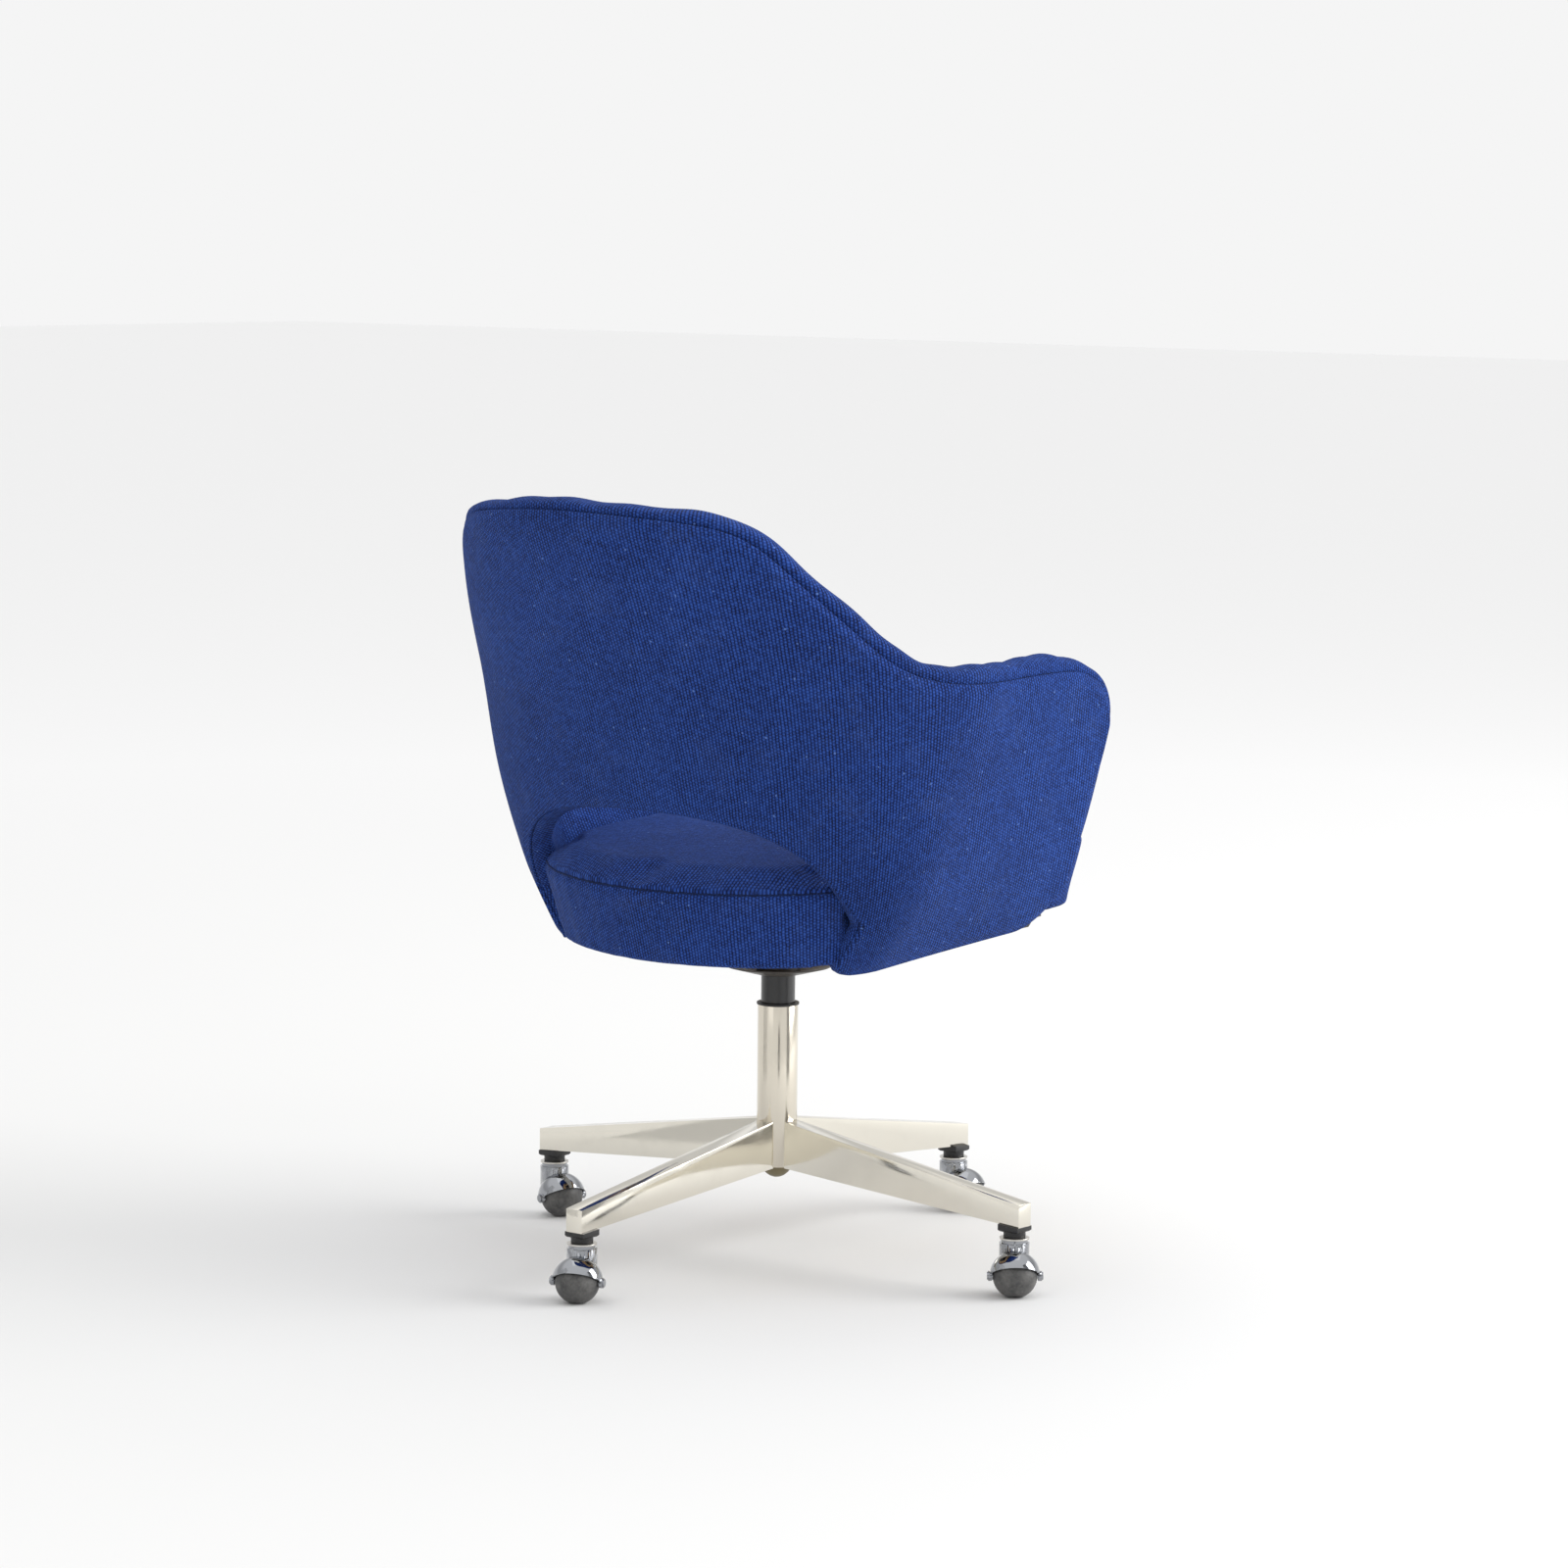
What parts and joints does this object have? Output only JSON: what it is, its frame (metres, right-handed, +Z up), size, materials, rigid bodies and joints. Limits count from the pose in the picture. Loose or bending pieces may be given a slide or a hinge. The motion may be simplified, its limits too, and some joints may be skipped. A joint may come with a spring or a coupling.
{
  "type": "swivel office chair",
  "caption": "Low-backed upholstered armchair with a wraparound shell, rear arch opening and loose seat, on a height-adjusting swivel column with a caster base.",
  "frame": {"origin": "on the floor under the column axis", "axes": "+Z up, the sitter faces -Y, +X to the sitter's left"},
  "size_m": [0.7147, 0.744, 0.8584],
  "materials": {
    "blue_cloth": "coarse basket weave wool",
    "polished_steel": "polished nickel-toned steel",
    "chrome": "bright chrome",
    "bright_steel": "zinc plated",
    "dark_steel": "dark oxidised steel",
    "black_enamel": "satin black",
    "black_plastic": "moulded black",
    "shell_plastic": "moulded reinforced plastic",
    "plywood": "raw moulded plywood",
    "brass": "dull brass",
    "wheel_rubber": "hard black rubber"
  },
  "bodies": {
    "base": {"column_tube": "polished_steel", "base_arm_1": "polished_steel", "base_arm_2": "polished_steel", "base_arm_3": "polished_steel", "base_arm_4": "polished_steel", "base_cap": "brass", "column_bush": "black_plastic", "caster_socket_1": "black_plastic", "caster_socket_2": "black_plastic", "caster_socket_3": "black_plastic", "caster_socket_4": "black_plastic"},
    "spindle": {"spindle_tube": "black_enamel", "spindle_guide": "black_plastic", "pivot_pin": "bright_steel", "thrust_washer": "brass", "retaining_ring": "bright_steel"},
    "seat": {"swivel_hub": "black_enamel", "hub_dish": "dark_steel", "seat_plate": "black_enamel", "plate_screws": "bright_steel", "seat_pan": "plywood", "moulded_shell": "shell_plastic", "shell_screws": "bright_steel", "back_cover": "blue_cloth", "inner_pad": "blue_cloth", "seat_cushion": "blue_cloth", "corner_clip": "dark_steel"},
    "caster_1": {"caster_stem_1": "bright_steel", "caster_ring_1": "chrome", "caster_hood_1": "chrome", "caster_axle_1": "chrome"},
    "wheel_1": {"caster_wheel_1": "wheel_rubber"},
    "caster_2": {"caster_stem_2": "bright_steel", "caster_ring_2": "chrome", "caster_hood_2": "chrome", "caster_axle_2": "chrome"},
    "wheel_2": {"caster_wheel_2": "wheel_rubber"},
    "caster_3": {"caster_stem_3": "bright_steel", "caster_ring_3": "chrome", "caster_hood_3": "chrome", "caster_axle_3": "chrome"},
    "wheel_3": {"caster_wheel_3": "wheel_rubber"},
    "caster_4": {"caster_stem_4": "bright_steel", "caster_ring_4": "chrome", "caster_hood_4": "chrome", "caster_axle_4": "chrome"},
    "wheel_4": {"caster_wheel_4": "wheel_rubber"}
  },
  "joints": [
    {"name": "height_slide", "type": "slide", "parent": "base", "child": "spindle", "axis": [0, 0, 1], "range_m": [-0.02, 0.06]},
    {"name": "seat_swivel", "type": "hinge", "parent": "spindle", "child": "seat", "pos_m": [0, 0, 0.32], "axis": [0, 0, 1], "continuous": true},
    {"name": "caster_swivel_1", "type": "hinge", "parent": "base", "child": "caster_1", "pos_m": [0.3307, 0, 0.08], "axis": [0, 0, 1], "continuous": true},
    {"name": "wheel_roll_1", "type": "hinge", "parent": "caster_1", "child": "wheel_1", "pos_m": [0.31453, 0.00557, 0.02306], "axis": [-0.3256, -0.9455, 0], "continuous": true},
    {"name": "caster_swivel_2", "type": "hinge", "parent": "base", "child": "caster_2", "pos_m": [0, 0.3307, 0.08], "axis": [0, 0, 1], "continuous": true},
    {"name": "wheel_roll_2", "type": "hinge", "parent": "caster_2", "child": "wheel_2", "pos_m": [-0.00723, 0.3462, 0.02306], "axis": [-0.9063, -0.4226, 0], "continuous": true},
    {"name": "caster_swivel_3", "type": "hinge", "parent": "base", "child": "caster_3", "pos_m": [-0.3307, 0, 0.08], "axis": [0, 0, 1], "continuous": true},
    {"name": "wheel_roll_3", "type": "hinge", "parent": "caster_3", "child": "wheel_3", "pos_m": [-0.34169, 0.0131, 0.02306], "axis": [-0.766, -0.6428, 0], "continuous": true},
    {"name": "caster_swivel_4", "type": "hinge", "parent": "base", "child": "caster_4", "pos_m": [0, -0.3307, 0.08], "axis": [0, 0, 1], "continuous": true},
    {"name": "wheel_roll_4", "type": "hinge", "parent": "caster_4", "child": "wheel_4", "pos_m": [-0.01684, -0.32773, 0.02306], "axis": [-0.1736, -0.9848, 0], "continuous": true}
  ]
}
